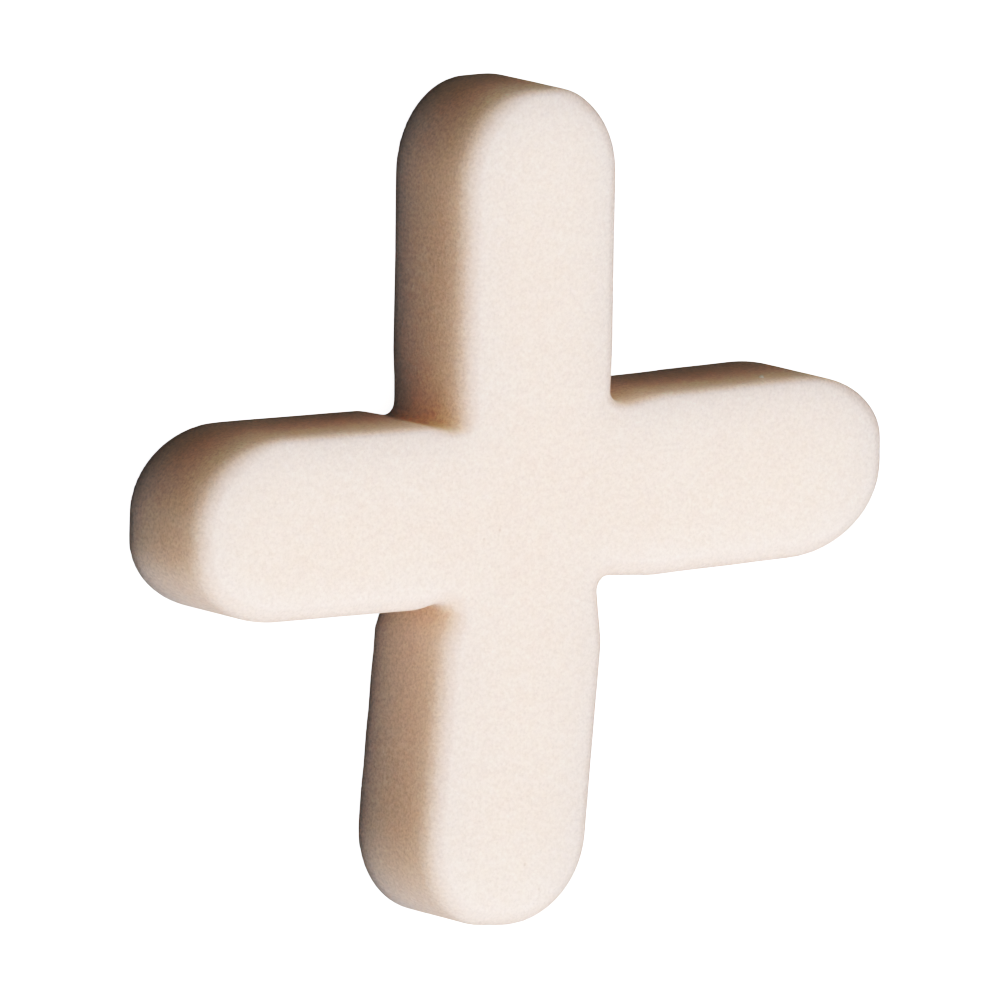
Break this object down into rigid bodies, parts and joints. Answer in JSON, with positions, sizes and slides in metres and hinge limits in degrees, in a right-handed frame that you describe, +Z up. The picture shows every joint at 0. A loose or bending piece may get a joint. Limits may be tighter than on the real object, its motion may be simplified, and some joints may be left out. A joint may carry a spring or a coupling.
{
  "type": "tile spacer",
  "caption": "One-piece cross-shaped tile spacer in matt ivory plastic, with round-ended arms that keep an even joint between the corners of wall or floor tiles.",
  "frame": {"origin": "middle of the crossing, on the flat underside that the spacer lies on", "axes": "+Z up through the thickness, towards the face with the softer edge; +X along the right arm and +Y along the top arm, as the picture shows them"},
  "size_m": [0.0141, 0.014, 0.0022],
  "materials": {
    "ivory_plastic": "matte"
  },
  "bodies": {
    "root": {"tile_spacer": "ivory_plastic"}
  },
  "joints": []
}
